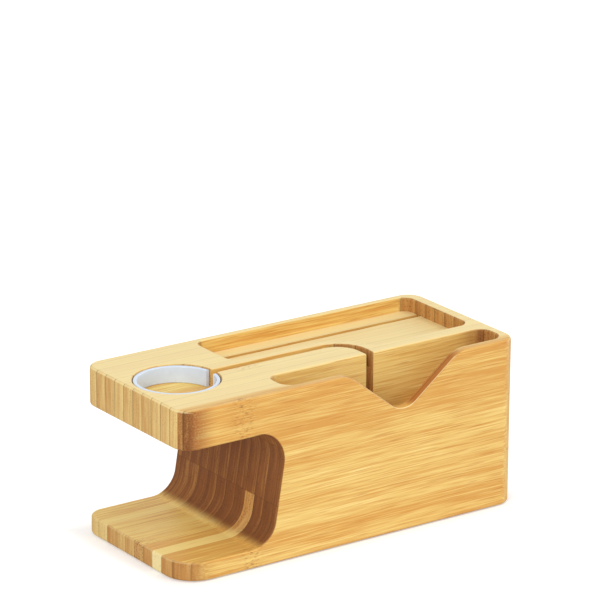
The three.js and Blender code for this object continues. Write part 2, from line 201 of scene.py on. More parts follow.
class StandFittingSizes(bpy.types.PropertyGroup):
    """Sizes of the liner ring and of the rubber feet."""

    ring_wall: length("Ring wall", 1.3, "Thickness of the liner ring")
    ring_clearance: length("Ring clearance", 0.3, "Space between the ring and the pocket's wall")
    ring_recess: length("Ring recess", 0.25, "How far the ring's rim lies below the top")
    ring_split: length("Ring split", 4.0, "Opening of the ring where the groove comes in")
    ring_rim_round: length("Ring rim round", 0.35, "Rounding of the ring's edges")
    pad_diameter: length("Pad diameter", 9.0, "Diameter of a rubber foot")
    pad_thickness: length("Pad thickness", 1.6, "Height of a rubber foot")
    pad_clearance: length("Pad clearance", 0.3, "Space round a rubber foot in its recess")
    pad_inset: length("Pad inset", 11.0, "From the block's sides to the middle of a rubber foot")
    pad_chamfer: length("Pad chamfer", 0.3, "Bevel round a rubber foot's lower edge")


class StandFinish(bpy.types.PropertyGroup):
    """Colours of the bamboo, the liner ring and the rubber."""

    fibre_palest: colour("Palest fibre", 250, 228, 156, "Bamboo of the palest laths")
    fibre_pale: colour("Pale fibre", 248, 215, 134, "Light bamboo between the fibre lines")
    fibre_mid: colour("Honey fibre", 236, 196, 112, "Bamboo's main colour")
    fibre_dark: colour("Amber fibre", 220, 160, 78, "Bamboo in the darker bands")
    fibre_line: colour("Fibre line", 194, 120, 50, "Thin dark fibre lines")
    # Partly the paler planed edge, partly painted sheen from the light above; also the painted highlight on
    # rounded rims
    pale_top_and_highlight: colour("Planed edge", 250, 230, 170, "Pale planed edges of the laths that look up")
    # Painted light: lifts the foot's top, which lies in the arm's shade
    foot_painted_light: colour("Planed foot", 255, 224, 122, "Planed edges of the laths that look up under the arm")
    end_palest: colour("Palest end grain", 242, 222, 162, "Cut ends of the palest laths")
    end_pale: colour("Pale end grain", 228, 197, 128, "Cut ends of the paler laths")
    end_mid: colour("Brown end grain", 194, 140, 76, "Cut ends of the middling laths")
    end_dark: colour("Dark end grain", 132, 80, 38, "Cut ends of the darker laths")
    end_burnt: colour("Burnt end grain", 104, 62, 30, "Cut ends that the cutter scorched")
    end_pore: colour("End pores", 100, 54, 22, "Specks in the cut ends")
    oiled: colour("Oiled end", 146, 74, 32, "Long faces next to an end that drew in oil")
    node: colour("Node mark", 140, 80, 34, "Dashes where a cane had its nodes")
    glue: colour("Glue line", 88, 50, 22, "Seams between laths")
    ring: colour("Liner ring", 219, 232, 250, "Glossy moulded liner ring")
    rubber: colour("Rubber", 34, 32, 31, "Rubber feet")


class StandStageSettings(bpy.types.PropertyGroup):
    """Light, floor and camera of the studio."""

    sky: FloatProperty(name="Sky", description="Even light from all sides", default=0.62, min=0)
    key: FloatProperty(
        name="Key lamp", description="Soft lamp at the front right", default=3.4, min=0, unit="POWER"
    )
    fill: FloatProperty(
        name="Fill lamp", description="Soft lamp at the left", default=5.3, min=0, unit="POWER"
    )
    rim: FloatProperty(
        name="Rim lamp", description="Soft lamp at the right", default=4.0, min=0, unit="POWER"
    )
    lamp_size: length("Lamp size", 550, "Side of each lamp")
    floor_size: length("Floor size", 6000, "Side of the floor")
    floor: colour("Floor", 238, 238, 238, "Pale floor")
    lens: FloatProperty(name="Lens", description="Focal length", default=229.963, unit="CAMERA")


# Meshes


def link(name, mesh):
    """New object at the origin that shows a mesh."""
    shown = bpy.data.objects.new(name, mesh)
    bpy.context.scene.collection.objects.link(shown)
    return shown


def bake(shown):
    """Replaces an object's mesh by what its modifiers make of it, and removes them."""
    graph = bpy.context.evaluated_depsgraph_get()
    mesh = bpy.data.meshes.new_from_object(
        shown.evaluated_get(graph), preserve_all_data_layers=True, depsgraph=graph
    )
    shown.modifiers.clear()
    shown.data = mesh
    if not mesh.polygons:
        raise RuntimeError(f"{shown.name} came out empty")
    return shown


def combine(target, operation, *tools):
    """Joins, cuts or trims an object by others, which are used up."""
    for tool in tools:
        modifier = target.modifiers.new(tool.name, "BOOLEAN")
        modifier.operation = operation
        modifier.solver = "MANIFOLD"
        modifier.object = tool
    bake(target)
    for tool in tools:
        bpy.data.objects.remove(tool)
    return target


def arc(x, y, radius, start, end):
    """Points round a circle from one angle to another."""
    turns = [start + (end - start) * i / ARC_STEPS for i in range(ARC_STEPS + 1)]
    return [(x + radius * math.cos(turn), y + radius * math.sin(turn)) for turn in turns]


def without_doubles(points):
    """Outline with no point given twice."""
    return [p for p, after in zip(points, points[1:] + points[:1]) if math.dist(p, after) > SAME_POINT]


def loft(name, rings):
    """Closed mesh through rings of equal point count, with its faces outwards."""
    builder = bmesh.new()
    rows = [[builder.verts.new(point) for point in ring] for ring in rings]
    for low, high in zip(rows, rows[1:]):
        for i in range(len(low)):
            builder.faces.new((low[i - 1], low[i], high[i], high[i - 1]))
    builder.faces.new(rows[0])
    builder.faces.new(rows[-1])
    bmesh.ops.recalc_face_normals(builder, faces=builder.faces)
    mesh = bpy.data.meshes.new(name)
    builder.to_mesh(mesh)
    builder.free()
    return link(name, mesh)


def upright_loft(name, outline, sections):
    """Loft upwards: each section is how far the outline grows and its height."""
    rings = [[(x, y, height) for x, y in without_doubles(outline(grow))] for grow, height in sections]
    return loft(name, rings)


def cross_loft(name, outline, sections):
    """Loft from front to back of an outline drawn in X and Z."""
    rings = [[(x, depth, z) for x, z in without_doubles(outline(grow))] for grow, depth in sections]
    return loft(name, rings)


def quarter_round(radius):
    """Quarter round in steps: how far the round still is from each of its two faces."""
    turns = [math.pi / 2 * i / ROUND_STEPS for i in range(ROUND_STEPS + 1)]
    return [(radius * (1 - math.cos(turn)), radius * (1 - math.sin(turn))) for turn in turns]


def box(name, low, high):
    """Box between two corners."""
    def outline(grow):
        return [(low[0], low[1]), (high[0], low[1]), (high[0], high[1]), (low[0], high[1])]
    return upright_loft(name, outline, [(0, low[2]), (0, high[2])])


def rounded_rectangle(left, right, front, back, radius, grow, front_left=None):
    """Rectangle with round corners, grown outwards. The front left corner can have a radius of its own."""
    quarter = math.pi / 2
    own = front_left or radius
    corners = (
        (right - radius, back - radius, radius),
        (left + radius, back - radius, radius),
        (left + own, front + own, own),
        (right - radius, front + radius, radius),
    )
    arcs = [arc(x, y, r + grow, i * quarter, (i + 1) * quarter) for i, (x, y, r) in enumerate(corners)]
    return sum(arcs, [])


# The block


def stand_places(size):
    """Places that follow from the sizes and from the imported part's box."""
    low, high = CAD_BOX
    left, front, base = low.x, low.y, BLOCK_BASE
    right, back, top = high.x, high.y, high.z
    place = SimpleNamespace(left=left, right=right, front=front, back=back, base=base, top=top)
    place.arm_underside = top - size.arm_thickness
    place.foot_top = base + size.foot_thickness

    def gap_corner(height, radius):
        wall = left + size.gap_depth + (height - place.foot_top) * math.tan(size.gap_lean)
        return wall - radius / math.cos(size.gap_lean), height

    place.gap_low = gap_corner(place.foot_top + size.gap_bottom_radius, size.gap_bottom_radius)
    place.gap_high = gap_corner(place.arm_underside - size.gap_top_radius, size.gap_top_radius)
    place.pocket = left + size.pocket_from_end, front + size.lead_line
    place.pocket_floor = top - size.pocket_depth
    bend = size.groove_bend_radius
    place.bend = left + size.groove_exit - bend, place.pocket[1] - bend
    place.slot_left = left + size.slot_left
    place.slot_right = right - size.slot_right_wall
    place.slot_front = front + size.front_wall
    place.slot_back = place.slot_front + size.slot_width
    place.slot_floor = top - size.slot_depth
    place.tray_left = left + size.tray_left
    place.tray_right = right - size.tray_right_rim
    place.tray_front = place.slot_back + size.slot_divider
    place.tray_back = back - size.tray_back_rim
    place.tray_floor = top - size.tray_depth
    place.land_radius = bend + size.groove_width / 2 + size.groove_land
    place.well = left + size.notch_centre
    return place


def pad_centres(place, fitting):
    """Centres of the rubber feet, from the front left round to the front right."""
    x = place.right - fitting.pad_inset
    y = place.back - fitting.pad_inset
    return (-x, -y), (-x, y), (x, y), (x, -y)


def rounded_slab(name, place, size, bottom, bottom_round, top, top_round, front_left=None):
    """Slab of the block's plan with its corners, its lower edges and its upper edges rounded."""
    edges = place.left, place.right, place.front, place.back

    def plan(grow):
        return rounded_rectangle(*edges, size.corner_radius, grow, front_left)
    lower = [(-along, bottom + out) for out, along in quarter_round(bottom_round)]
    upper = [(-out, top - along) for out, along in quarter_round(top_round)]
    return upright_loft(name, plan, lower + upper)


def hollow(name, place, outline, floor, mouth_round):
    """Cutter for a hollow open at the top, its mouth rounded over."""
    mouth = [(out, place.top - along) for out, along in quarter_round(mouth_round)]
    return upright_loft(name, outline, [(0, floor), *mouth, (mouth_round, place.top + OVERCUT)])


def through_sections(front, front_round, back, back_round):
    """Sections of a cut that is rounded over at the two faces it comes out of."""
    opening = [(along, front + out) for out, along in quarter_round(front_round)]
    closing = [(out, back - along) for out, along in quarter_round(back_round)]
    return [(front_round, front - OVERCUT), *opening, *closing, (back_round, back + OVERCUT)]


def armed_block(place, size):
    """Block with its arm and foot, joined halfway along the gap's straight part."""
    quarter = math.pi / 2
    corner = max(size.corner_radius, size.foot_corner_radius)
    joint = (place.left + corner + min(place.gap_low[0], place.gap_high[0])) / 2
    low = place.left - OVERCUT, place.front - OVERCUT, place.base - OVERCUT
    high = place.right + OVERCUT, place.back + OVERCUT, place.top + OVERCUT

    def gap_outline(grow):
        lower = arc(*place.gap_low, size.gap_bottom_radius + grow, -quarter, -size.gap_lean)
        upper = arc(*place.gap_high, size.gap_top_radius + grow, -size.gap_lean, quarter)
        mouth = [(low[0], place.arm_underside + grow), (low[0], place.foot_top - grow)]
        return lower + upper + mouth

    def open_end():
        return box("open_end", low, (joint, high[1], high[2]))

    edge, cut = size.edge_round, size.gap_edge_round
    gap = cross_loft("gap", gap_outline, through_sections(place.front, cut, place.back, cut))
    arm = rounded_slab("arm", place, size, place.arm_underside, cut, place.top, edge)
    foot = rounded_slab("foot", place, size, place.base, edge, place.foot_top, cut, size.foot_corner_radius)
    core = rounded_slab("core", place, size, place.base, edge, place.top, edge)
    combine(arm, "INTERSECT", open_end())
    combine(foot, "INTERSECT", open_end())
    combine(core, "INTERSECT", box("closed_end", (joint, low[1], low[2]), high))
    combine(core, "DIFFERENCE", gap)
    return combine(core, "UNION", arm, foot)


def pocket_cutter(place, size):
    """Round pocket in the arm."""
    radius = size.pocket_diameter / 2
    x, y = place.pocket

    def outline(grow):
        return rounded_rectangle(x - radius, x + radius, y - radius, y + radius, radius, grow)
    return hollow("pocket", place, outline, place.pocket_floor, size.pocket_mouth_round)


def groove_cutter(place, size):
    """Groove along the lead line, bent forwards into the slot."""
    half = size.groove_width / 2
    start = place.pocket[0] + size.pocket_diameter / 2 - OVERCUT
    end = place.slot_back - OVERCUT
    x, y = place.bend

    def outline(grow):
        inner = size.groove_bend_radius - half - grow
        outer = size.groove_bend_radius + half + grow
        inner_bend = arc(x, y, inner, math.pi / 2, 0)
        outer_bend = arc(x, y, outer, 0, math.pi / 2)
        line = place.pocket[1]
        exits = [(x + inner, end), (x + outer, end)]
        starts = [(start, line + half + grow), (start, line - half - grow)]
        return inner_bend + exits + outer_bend + starts
    return hollow("groove", place, outline, place.top - size.groove_depth, size.groove_mouth_round)


def drop_cutter(place, size):
    """Upright drop in the slot's back wall, below the groove's end."""
    half = size.groove_width / 2
    x = place.left + size.groove_exit
    end = place.slot_back - OVERCUT

    def outline(grow):
        return arc(x, place.slot_back + half, half, 0, math.pi) + [(x - half, end), (x + half, end)]
    return upright_loft("drop", outline, [(0, place.slot_floor), (0, place.top + OVERCUT)])


def slot_cutter(place, size):
    """Upright slot along the front."""
    edges = place.slot_left, place.slot_right, place.slot_front, place.slot_back

    def outline(grow):
        return rounded_rectangle(*edges, size.slot_corner_radius, grow)
    return hollow("slot", place, outline, place.slot_floor, size.slot_mouth_round)


def notch_cutter(place, size):
    """Notch in the slot's front wall: round bottom, straight flanks and round shoulders."""
    flank, upright = size.notch_flank, math.pi / 2
    bottom_z = place.top - size.notch_depth + size.notch_bottom_radius
    shoulder_z = place.top - size.notch_shoulder_radius
    radii = size.notch_bottom_radius + size.notch_shoulder_radius
    reach = (radii - (bottom_z - shoulder_z) * math.cos(flank)) / math.sin(flank)
    left, right, over = place.well - reach, place.well + reach, place.top + OVERCUT

    def outline(grow):
        shoulder = size.notch_shoulder_radius - grow
        bottom = size.notch_bottom_radius + grow
        falling = arc(left, shoulder_z, shoulder, upright, upright - flank)
        valley = arc(place.well, bottom_z, bottom, -upright - flank, -upright + flank)
        rising = arc(right, shoulder_z, shoulder, upright + flank, upright)
        return falling + valley + rising + [(right, over), (left, over)]
    sections = through_sections(place.front, size.notch_edge_round, place.slot_front, size.slot_mouth_round)
    return cross_loft("notch", outline, sections)


def tray_cutter(place, size):
    """Tray whose near edge follows the groove at an even distance, then the slot."""
    radius, quarter = size.tray_corner_radius, math.pi / 2
    bend_x, bend_y = place.bend
    land = place.land_radius
    fillet_y = place.tray_front + radius
    fillet_x = bend_x + math.sqrt((land + radius) ** 2 - (fillet_y - bend_y) ** 2)
    turn = math.atan2(fillet_y - bend_y, fillet_x - bend_x)
    left, right, back = place.tray_left + radius, place.tray_right - radius, place.tray_back - radius

    def outline(grow):
        corner = radius + grow
        return (
            arc(right, back, corner, 0, quarter)
            + arc(left, back, corner, quarter, 2 * quarter)
            + arc(left, bend_y + land + radius, corner, 2 * quarter, 3 * quarter)
            + arc(bend_x, bend_y, land - grow, quarter, turn)
            + arc(fillet_x, fillet_y, corner, turn + math.pi, 3 * quarter)
            + arc(right, place.tray_front + radius, corner, 3 * quarter, 4 * quarter)
        )
    return hollow("tray", place, outline, place.tray_floor, size.tray_mouth_round)


def tray_slit_cutter(place, size):
    """Slit in the tray's floor, from one end of the tray to the other."""
    middle, half = place.front + size.tray_slit_line, size.tray_slit_width / 2
    low = place.tray_left, middle - half, place.tray_floor - size.tray_slit_depth
    return box("tray_slit", low, (place.tray_right, middle + half, place.tray_floor + OVERCUT))


def well_cutter(place, size):
    """Well for a plug, through the slot's floor."""
    half = size.well_length / 2
    low = place.well - half, place.slot_front, place.base - OVERCUT
    return box("well", low, (place.well + half, place.slot_back, place.slot_floor + OVERCUT))


def channel_cutter(place, size):
    """Channel under the stand, from the well to the back."""
    half, radius = size.channel_width / 2, size.channel_radius
    reach = half - radius
    springing = place.base + size.channel_height - radius
    below = place.base - OVERCUT

    def outline(grow):
        right = arc(place.well + reach, springing, radius, 0, math.pi / 2)
        left = arc(place.well - reach, springing, radius, math.pi / 2, math.pi)
        return right + left + [(place.well - half, below), (place.well + half, below)]
    return cross_loft("channel", outline, [(0, place.slot_back - OVERCUT), (0, place.back + OVERCUT)])


def pad_recess_cutters(place, fitting):
    """Blind recesses for the rubber feet."""
    radius = fitting.pad_diameter / 2 + fitting.pad_clearance
    for x, y in pad_centres(place, fitting):
        def outline(grow):
            return rounded_rectangle(x - radius, x + radius, y - radius, y + radius, radius, grow)
        yield upright_loft("pad_recess", outline, [(0, 0), (0, fitting.pad_thickness)])


def finished_block(place, size, fitting):
    """Whole block with every hollow cut."""
    cutters = [
        pocket_cutter(place, size),
        groove_cutter(place, size),
        drop_cutter(place, size),
        slot_cutter(place, size),
        notch_cutter(place, size),
        tray_cutter(place, size),
        tray_slit_cutter(place, size),
        well_cutter(place, size),
        channel_cutter(place, size),
        *pad_recess_cutters(place, fitting),
    ]
    return combine(armed_block(place, size), "DIFFERENCE", *cutters)


# Node trees

FLOAT = "NodeSocketFloat"
VECTOR = "NodeSocketVector"
GEOMETRY = "NodeSocketGeometry"


class Value:
    """Number in a node tree. Sums, differences, products and quotients of it make Math nodes."""

    def __init__(self, socket):
        self.socket = socket
        self.tree = socket.id_data

    def __add__(self, other):
        return math_node("ADD", self, other)

    def __sub__(self, other):
        return math_node("SUBTRACT", self, other)

    def __rsub__(self, other):
        return math_node("SUBTRACT", other, self)

    def __mul__(self, other):
        return math_node("MULTIPLY", self, other)

    def __truediv__(self, other):
        return math_node("DIVIDE", self, other)

    def __abs__(self):
        return math_node("ABSOLUTE", self)


def fill(node, values):
    """Links or sets a node's inputs, by name or number."""
    for key, value in values.items():
        source = value.socket if isinstance(value, Value) else value
        if isinstance(source, bpy.types.NodeSocket):
            node.id_data.links.new(source, node.inputs[key])
        else:
            node.inputs[key].default_value = source


def add(tree, kind, values=None, **settings):
    """New node with its settings made and its inputs filled."""
    node = tree.nodes.new(kind)
    for name, setting in settings.items():
        setattr(node, name, setting)
    fill(node, values or {})
    return node


def made(tree, kind, values=None, **settings):
    """First output of a new node."""
    return add(tree, kind, values, **settings).outputs[0]


def math_node(operation, *values):
    """Result of one Math node."""
    tree = next(value.tree for value in values if isinstance(value, Value))
    return Value(made(tree, "ShaderNodeMath", dict(enumerate(values)), operation=operation))


def highest(first, second):
    """Larger of two numbers."""
    return math_node("MAXIMUM", first, second)


def lowest(first, second):
    """Smaller of two numbers."""
    return math_node("MINIMUM", first, second)


def vector_math(tree, operation, values):
    """Result of one Vector Math node."""
    return made(tree, "ShaderNodeVectorMath", values, operation=operation)


def numbers(outputs):
    """A node's outputs as numbers, by name."""
    return {output.name: Value(output) for output in outputs}


def sockets(kind, *names):
    """Named sockets of one kind."""
    return [(name, kind) for name in names]


def new_tree(name, kind, inputs, outputs):
    """Node group with named sockets, what comes into it, and its end node."""
    tree = bpy.data.node_groups.new(name, kind)
    for way, ends in (("INPUT", inputs), ("OUTPUT", outputs)):
        for label, socket in ends:
            tree.interface.new_socket(label, in_out=way, socket_type=socket)
    return tree, tree.nodes.new("NodeGroupInput").outputs, tree.nodes.new("NodeGroupOutput")


def geometry_modifier(shown, tree, values):
    """Gives an object a geometry tree with its named inputs set."""
    modifier = shown.modifiers.new(tree.name, "NODES")
    modifier.node_group = tree
    for item in tree.interface.items_tree:
        if item.in_out == "INPUT" and item.name in values:
            modifier[item.identifier] = values[item.name]
    return modifier


def finish_tree(tree, geometry, outgoing, material):
    """Ends a geometry tree: smooth faces, sharp edges by angle, plain mesh and material."""
    soft = {"Geometry": geometry, "Shade Smooth": True}
    smooth = made(tree, "GeometryNodeSetShadeSmooth", soft, domain="FACE")
    bend = made(tree, "GeometryNodeInputMeshEdgeAngle")
    angles = {0: bend, 1: SHARP_ANGLE}
    is_sharp = made(tree, "FunctionNodeCompare", angles, data_type="FLOAT", operation="GREATER_THAN")
    sharp = {"Geometry": smooth, "Selection": is_sharp, "Shade Smooth": False}
    creased = made(tree, "GeometryNodeSetShadeSmooth", sharp, domain="EDGE")
    plain = made(tree, "GeometryNodeRealizeInstances", {"Geometry": creased})
    coated = made(tree, "GeometryNodeSetMaterial", {"Geometry": plain, "Material": material})
    tree.links.new(coated, outgoing.inputs[0])


LATH_VALUES = ("lath_tone", "lath_end", "lath_shift", "lath_node", "lath_soak")


def lath_tree(material):
    """Cuts one lath out of the block, between two corners, and keeps what its finish needs."""
    corners = sockets(VECTOR, "Low Corner", "High Corner")
    inputs = sockets(GEOMETRY, "Block") + corners + sockets(FLOAT, *LATH_VALUES)
    result = sockets(GEOMETRY, "Lath")
    tree, value, outgoing = new_tree("Lath from block", "GeometryNodeTree", inputs, result)
    ends = {0: value["High Corner"], 1: value["Low Corner"]}
    extent = vector_math(tree, "SUBTRACT", ends)
    middle = vector_math(tree, "SCALE", {0: vector_math(tree, "ADD", ends), "Scale": 0.5})
    cube = made(tree, "GeometryNodeMeshCube", {"Size": extent})
    cell = made(tree, "GeometryNodeTransform", {"Geometry": cube, "Translation": middle})
    cut = add(tree, "GeometryNodeMeshBoolean", operation="INTERSECT", solver="MANIFOLD")
    for solid in (value["Block"], cell):
        tree.links.new(solid, cut.inputs["Mesh 2"])
    geometry = cut.outputs["Mesh"]
    for name in LATH_VALUES:
        kept = {"Geometry": geometry, "Name": name, "Value": value[name]}
        geometry = made(tree, "GeometryNodeStoreNamedAttribute", kept, data_type="FLOAT", domain="POINT")
    finish_tree(tree, geometry, outgoing, material)
    return tree


def ring_tree(material):
    """Split ring: a rounded wall section swept round an arc."""
    sizes = sockets(FLOAT, "Radius", "Wall", "Height", "Rim Round", "Opening")
    inputs = sockets(GEOMETRY, "Geometry") + sockets(VECTOR, "Middle") + sizes
    result = sockets(GEOMETRY, "Ring")
    tree, incoming, outgoing = new_tree("Split liner ring", "GeometryNodeTree", inputs, result)
    value = numbers(incoming)
    opening = value["Opening"]
    round_arc = {
        "Resolution": RING_STEPS,
        "Radius": value["Radius"],
        "Start Angle": opening,
        "Sweep Angle": 2 * math.pi - opening * 2.0,
    }
    path = made(tree, "GeometryNodeCurveArc", round_arc, mode="RADIUS")
    upright = made(tree, "GeometryNodeSetCurveNormal", {"Curve": path}, mode="Z_UP")
    wall = {"Width": value["Wall"], "Height": value["Height"]}
    section = made(tree, "GeometryNodeCurvePrimitiveQuadrilateral", wall, mode="RECTANGLE")
    rims = {"Curve": section, "Count": ROUND_STEPS, "Radius": value["Rim Round"]}
    profile = made(tree, "GeometryNodeFilletCurve", rims, mode="POLY")
    sweep = {"Curve": upright, "Profile Curve": profile, "Fill Caps": True}
    swept = made(tree, "GeometryNodeCurveToMesh", sweep)
    placed = made(tree, "GeometryNodeTransform", {"Geometry": swept, "Translation": value["Middle"]})
    finish_tree(tree, placed, outgoing, material)
    return tree


def raised(tree, values, rise):
    """Faces pulled upwards, with sides below them."""
    offset = made(tree, "ShaderNodeCombineXYZ", {"Z": rise})
    lift = {**values, "Offset": offset, "Offset Scale": 1.0}
    return add(tree, "GeometryNodeExtrudeMesh", lift, mode="FACES").outputs


def feet_tree(material):
    """Bevelled rubber pads, one on each point."""
    inputs = sockets(GEOMETRY, "Points") + sockets(FLOAT, "Radius", "Thickness", "Chamfer")
    result = sockets(GEOMETRY, "Feet")
    tree, incoming, outgoing = new_tree("Rubber feet", "GeometryNodeTree", inputs, result)
    value = numbers(incoming)
    radius, chamfer = value["Radius"], value["Chamfer"]
    sole_radius = radius - chamfer
    rim = {"Vertices": PAD_SIDES, "Radius": sole_radius}
    sole = made(tree, "GeometryNodeMeshCircle", rim, fill_type="NGON")
    bevel = raised(tree, {"Mesh": sole}, chamfer)
    growth = {"Geometry": bevel["Mesh"], "Selection": bevel["Top"], "Scale": radius / sole_radius}
    widened = made(tree, "GeometryNodeScaleElements", growth, domain="FACE")
    body = raised(tree, {"Mesh": widened, "Selection": bevel["Top"]}, value["Thickness"] - chamfer)
    underside = made(tree, "GeometryNodeFlipFaces", {"Mesh": sole})
    both = add(tree, "GeometryNodeJoinGeometry")
    for half in (body["Mesh"], underside):
        tree.links.new(half, both.inputs[0])
    closed = {"Geometry": both.outputs[0], "Distance": SAME_POINT}
    pad = made(tree, "GeometryNodeMergeByDistance", closed)
    feet = made(tree, "GeometryNodeInstanceOnPoints", {"Points": value["Points"], "Instance": pad})
    plain = made(tree, "GeometryNodeRealizeInstances", {"Geometry": feet})
    finish_tree(tree, plain, outgoing, material)
    return tree


# Shader groups


def noise(vector, grain, detail, roughness=0.5):
    """Even noise, about one half on average. The grain is how often it repeats along each axis."""
    values = {"Vector": scaled(vector, *grain), "Scale": 1.0, "Detail": detail, "Roughness": roughness}
    return Value(made(vector.id_data, "ShaderNodeTexNoise", values))


def spread(value, low, high, to_low=0.0, to_high=1.0):
    """Value stretched smoothly from one range to another, and kept inside it."""
    values = {"Value": value, 1: low, 2: high, 3: to_low, 4: to_high}
    return Value(made(value.tree, "ShaderNodeMapRange", values, interpolation_type="SMOOTHSTEP"))


def faded(mask, outside, inside):
    """One value outside a mask and another inside it."""
    return spread(mask, 0.0, 1.0, outside, inside)


def scaled(vector, x, y, z):
    """Vector multiplied along each axis."""
    return vector_math(vector.id_data, "MULTIPLY", {0: vector, 1: (x, y, z)})


def shifted(vector, shift, step):
    """Vector moved by a number of steps, so that no two laths share a pattern."""
    tree = vector.id_data
    return vector_math(tree, "ADD", {0: vector, 1: vector_math(tree, "SCALE", {0: step, "Scale": shift})})


def split(vector):
    """The three numbers of a vector."""
    return [Value(part) for part in add(vector.id_data, "ShaderNodeSeparateXYZ", {0: vector}).outputs]


def painted(base, mask, tint):
    """Colour with another one, or a plain tint, laid over it where the mask is."""
    over = tint if isinstance(tint, bpy.types.NodeSocket) else (*tint, 1.0)
    return add(base.id_data, "ShaderNodeMix", {0: mask, 6: base, 7: over}, data_type="RGBA").outputs[2]


def ramp(value, places, tints):
    """Colour read from a row of tints."""
    node = add(value.tree, "ShaderNodeValToRGB", {"Fac": value})
    elements = node.color_ramp.elements
    while len(elements) < len(places):
        elements.new(0.5)
    for element, place, tint in zip(elements, places, tints):
        element.position = place
        element.color = (*tint, 1.0)
    return node.outputs[0]


# How often each pattern repeats in a millimetre: along the stand, across it and upwards
SWAY_GRAIN = (0.012, 0.03, 0.03)
FINE_GRAIN = (0.04, 2.2, 2.2)
BAND_GRAIN = (0.007, 0.22, 0.22)
THREAD_GRAIN = (0.07, 2.6, 2.6)
PORE_GRAIN = (0.3, 1.0, 0.85)
PATCH_GRAIN = (0.1, 0.5, 0.18)
STREAK_GRAIN = (0.05, 1.3, 0.08)
STIPPLE_GRAIN = (1.6, 2.2, 2.2)
FLECK_GRAIN = (0.5, 2.1, 2.1)
CLOUD_GRAIN = (0.35, 0.35, 0.35)
RIPPLE_GRAIN = (1.6, 1.6, 1.6)
RUBBER_GRAIN = (6.0, 6.0, 6.0)
DUST_GRAIN = (0.6, 0.6, 0.6)

# How far the patterns of neighbouring laths are moved apart, in millimetres
FIBRE_STEP = (137.0, 0.0, 0.0)
END_STEP = (0.0, 3.1, 5.3)

# Fibres: how far they sway, in millimetres, how strong they and their bands are, and where dark lines start
SWAY = 0.8
FINE_CONTRAST = 1.95
BAND_CONTRAST = 0.95
TONE_LOWERED = 0.945
THREAD_RANGE = (0.42, 0.27)

# Pores of cut ends: how dense and how even they are, how wide one is, and how they gather in patches
PORE_DENSITY = 1.5
PORE_SCATTER = 0.9
PORE_RANGE = (0.45, 0.15)
PATCH_RANGE = (0.35, 0.65, 0.25, 1.0)

# Glue lines: half their width in millimetres, and how they fade towards it
GLUE_LINE = 0.24
GLUE_FADE = (1.0, 0.3)


def pattern_tree(name, *outputs):
    """Shader group that makes numbers from a place on the stand and a lath's shift."""
    inputs = sockets(VECTOR, "Place") + sockets(FLOAT, "Shift")
    return new_tree(name, "ShaderNodeTree", inputs, sockets(FLOAT, *outputs))


def fibre_group():
    """Fibres along the lath: tone of the bands, thin dark lines, and a height for the surface."""
    tree, value, outgoing = pattern_tree("Bamboo fibres", "Tone", "Line", "Height")
    place = shifted(value["Place"], value["Shift"], FIBRE_STEP)
    sway = noise(place, SWAY_GRAIN, 1.0) * (2 * SWAY) - SWAY
    aside = made(tree, "ShaderNodeCombineXYZ", {"Y": sway, "Z": sway})
    swayed = vector_math(tree, "ADD", {0: place, 1: aside})
    fine = noise(swayed, FINE_GRAIN, 2.0, 0.65)
    band = noise(swayed, BAND_GRAIN, 1.5)
    thread = noise(swayed, THREAD_GRAIN, 1.5, 0.6)
    tone = fine * FINE_CONTRAST + band * BAND_CONTRAST - TONE_LOWERED
    fill(outgoing, {"Tone": tone, "Line": spread(thread, *THREAD_RANGE), "Height": fine})
    return tree


def end_group():
    """Cut ends: pores in the section of a lath, and upright streaks between them."""
    tree, value, outgoing = pattern_tree("Bamboo end grain", "Pore", "Streak")
    place = shifted(value["Place"], value["Shift"], END_STEP)
    dots = {"Vector": scaled(place, *PORE_GRAIN), "Scale": PORE_DENSITY, "Randomness": PORE_SCATTER}
    distance = Value(add(tree, "ShaderNodeTexVoronoi", dots).outputs["Distance"])
    crowd = spread(noise(place, PATCH_GRAIN, 2.0), *PATCH_RANGE)
    pore = spread(distance, *PORE_RANGE) * crowd
    fill(outgoing, {"Pore": pore, "Streak": noise(place, STREAK_GRAIN, 2.0)})
    return tree


def seam_group():
    """Glue line: one where a place along an axis is on a joint, from the first joint to the last."""
    names = ("Along", "First", "Pitch", "Last", "Line")
    inputs = sockets(FLOAT, *names)
    tree, incoming, outgoing = new_tree("Glue line", "ShaderNodeTree", inputs, sockets(FLOAT, "Mask"))
    value = numbers(incoming)
    along, first, pitch, last, line = (value[name] for name in names)
    folded = math_node("PINGPONG", along - first, pitch * 0.5)
    after = math_node("GREATER_THAN", along, first - line)
    before = math_node("LESS_THAN", along, last + line)
    fill(outgoing, {"Mask": spread(folded / line, *GLUE_FADE) * (after * before)})
    return tree


# Materials


def new_material(name):
    """Empty node material with its surface shader."""
    material = bpy.data.materials.new(name)
    material.use_nodes = True
    tree = material.node_tree
    tree.nodes.clear()
    shader = add(tree, "ShaderNodeBsdfPrincipled")
    output = add(tree, "ShaderNodeOutputMaterial", {"Surface": shader.outputs[0]})
    output.is_active_output = True
    return material, tree, shader


def group_values(tree, group, values):
    """Outputs of a shader group placed in a material."""
    return numbers(add(tree, "ShaderNodeGroup", values, node_tree=group).outputs)


def millimetre_place(tree):
    """Place on the stand, in millimetres."""
    place = add(tree, "ShaderNodeTexCoord").outputs["Object"]
    return scaled(place, 1 / MM, 1 / MM, 1 / MM)


def attribute(tree, name):
    """Number kept on a mesh."""
    return Value(add(tree, "ShaderNodeAttribute", attribute_name=name).outputs["Fac"])


def relief(height, strength, depth):
    """Surface normal with a fine relief, its depth in millimetres."""
    values = {"Strength": strength, "Distance": depth * MM, "Height": height}
    return made(height.tree, "ShaderNodeBump", values)


def near(distance, offsets):
    """Range of places in millimetres, as offsets from a distance or a level."""
    return [distance / MM + offset for offset in offsets]
